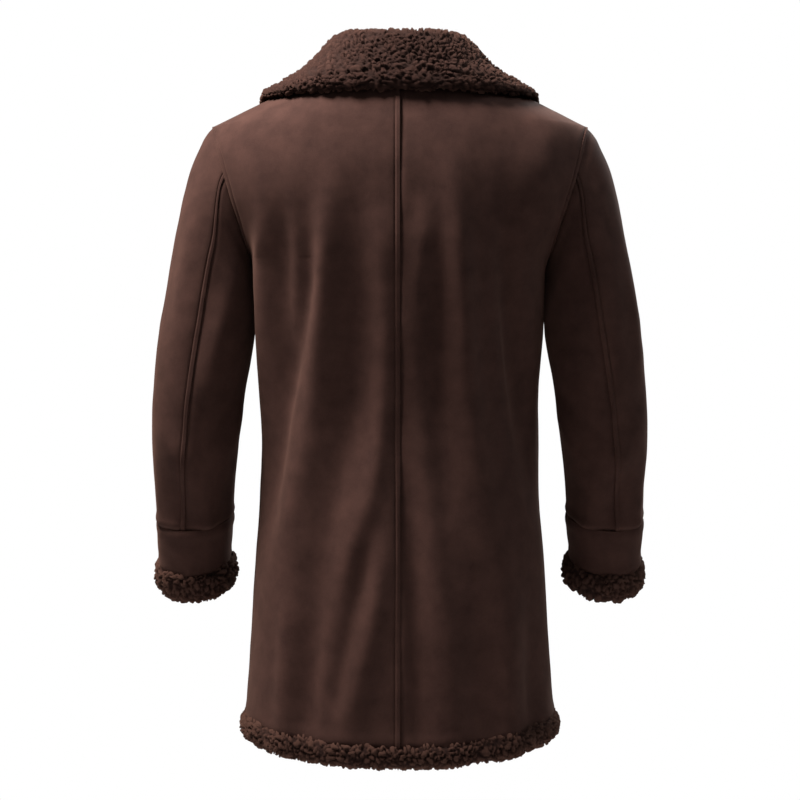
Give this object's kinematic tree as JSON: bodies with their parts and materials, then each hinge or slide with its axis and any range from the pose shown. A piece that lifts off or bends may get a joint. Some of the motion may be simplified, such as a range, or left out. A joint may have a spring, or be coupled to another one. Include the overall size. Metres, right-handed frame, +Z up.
{
  "type": "three-quarter faux suede coat with sherpa lining, filled out as worn",
  "caption": "Dark brown faux suede coat with turned-down sherpa collar and sherpa rolls at cuffs and hem; hollow form that a figure wears",
  "frame": {"origin": "on the neck's upright axis at the height of the nape seam, where the wearer's shoulders carry the coat", "axes": "+Z up along the coat, front faces -Y, the wearer's left arm at +X"},
  "size_m": [0.647, 0.3082, 0.9227],
  "materials": {
    "suede": "matte brushed nap, dark brown",
    "sherpa": "curled pile in small tufts, dark brown",
    "button": "satin dark horn"
  },
  "bodies": {
    "root": {"back_left": "suede", "back_right": "suede", "front_left": "suede", "front_right": "suede", "upper_sleeve_left": "suede", "under_sleeve_left": "suede", "upper_sleeve_right": "suede", "under_sleeve_right": "suede", "cuff_left": "suede", "cuff_right": "suede", "cuff_trim_left": "sherpa", "cuff_trim_right": "sherpa", "collar": "sherpa", "hem_trim": "sherpa", "button_1": "button", "button_2": "button", "button_3": "button", "button_4": "button"}
  },
  "joints": []
}
